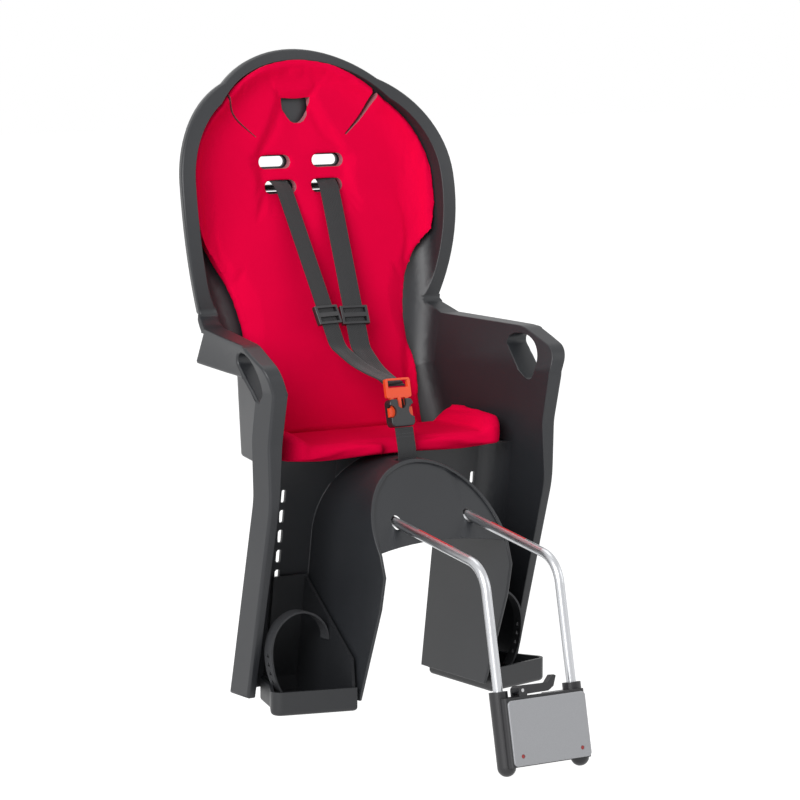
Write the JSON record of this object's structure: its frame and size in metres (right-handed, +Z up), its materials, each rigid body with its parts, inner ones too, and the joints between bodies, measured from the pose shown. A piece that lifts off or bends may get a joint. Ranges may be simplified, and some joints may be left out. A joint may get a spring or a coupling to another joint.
{
  "type": "child bike seat",
  "caption": "Rear child seat for a bicycle: moulded bucket shell with wings, armrest loops, pads, harness and footrests on a bent bow in a seat-tube clamp bracket.",
  "frame": {"origin": "on the axis of the bicycle's seat tube, at mid height of the bracket's clamp", "axes": "+Z up, the child faces -Y, +X to the right as seen from the front"},
  "size_m": [0.4368, 0.5878, 0.8192],
  "materials": {
    "shell": "satin moulded",
    "pad": "foam-backed knit",
    "webbing": "woven",
    "hardware": "fine grain",
    "tongue": "moulded",
    "foot": "fine grain",
    "foot_strap": "matte",
    "rod": "polished",
    "steel": "zinc plated",
    "bracket": "glass-filled nylon",
    "cover": "silver-grey satin",
    "liner": "matte",
    "window": "tinted"
  },
  "bodies": {
    "bracket": {"bracket_body": "bracket", "bracket_cover": "cover", "bracket_jaw": "bracket", "jaw_liners": "liner", "bracket_bolts": "steel", "bracket_nuts": "steel", "lever_pin": "steel", "latch_spring_left": "steel", "latch_spring_right": "steel", "indicator_windows": "window"},
    "lever": {"release_lever": "bracket"},
    "latch_left": {"latch_pin_left": "steel"},
    "latch_right": {"latch_pin_right": "steel"},
    "carrier": {"bow": "rod"},
    "seat": {"seat_shell": "shell", "back_pad": "pad", "seat_pad": "pad", "shoulder_strap_left": "webbing", "shoulder_strap_right": "webbing", "strap_anchor_bars": "steel", "crotch_strap": "webbing", "buckle_housing": "hardware", "buckle_tongue": "tongue", "bow_clamp_plate": "steel", "bow_clamp_screws": "steel"},
    "slider_left": {"strap_slider_left": "hardware"},
    "slider_right": {"strap_slider_right": "hardware"},
    "foot_left": {"footrest_left": "foot", "foot_strap_left": "foot_strap"},
    "foot_right": {"footrest_right": "foot", "foot_strap_right": "foot_strap"}
  },
  "joints": [
    {"name": "seat_lift", "type": "slide", "parent": "bracket", "child": "carrier", "axis": [0, 0.2079, 0.9781], "range_m": [0, 0.08]},
    {"name": "release_lever", "type": "hinge", "parent": "bracket", "child": "lever", "pos_m": [-0.03, -0.01529, 0.04108], "axis": [0, -0.9781, 0.2079], "range_deg": [0, 25], "stiffness_Nm_per_rad": 0.2, "springref_deg": -11.46},
    {"name": "latch_left_slide", "type": "slide", "parent": "bracket", "child": "latch_left", "axis": [1, 0, 0], "range_m": [0, 0.004], "deforming": ["latch_spring_left"]},
    {"name": "latch_right_slide", "type": "slide", "parent": "bracket", "child": "latch_right", "axis": [-1, 0, 0], "range_m": [0, 0.004], "deforming": ["latch_spring_right"]},
    {"name": "seat_reach", "type": "slide", "parent": "carrier", "child": "seat", "axis": [0, 0.989, 0.1478], "range_m": [-0.04, 0.008]},
    {"name": "footrest_left_height", "type": "slide", "parent": "seat", "child": "foot_left", "axis": [0, -0.1564, 0.9877], "range_m": [0, 0.1]},
    {"name": "footrest_right_height", "type": "slide", "parent": "seat", "child": "foot_right", "axis": [0, -0.1564, 0.9877], "range_m": [0, 0.1]},
    {"name": "strap_slider_left_shift", "type": "slide", "parent": "seat", "child": "slider_left", "axis": [-0.0753, 0.4618, 0.8838], "range_m": [-0.008, 0.08]},
    {"name": "strap_slider_right_shift", "type": "slide", "parent": "seat", "child": "slider_right", "axis": [0.0732, 0.4487, 0.8907], "range_m": [-0.008, 0.08]}
  ],
  "couplings": [
    {"joint": "latch_left_slide", "follows": "release_lever", "m_per_rad": 0.00916},
    {"joint": "latch_right_slide", "follows": "release_lever", "m_per_rad": 0.00916}
  ]
}
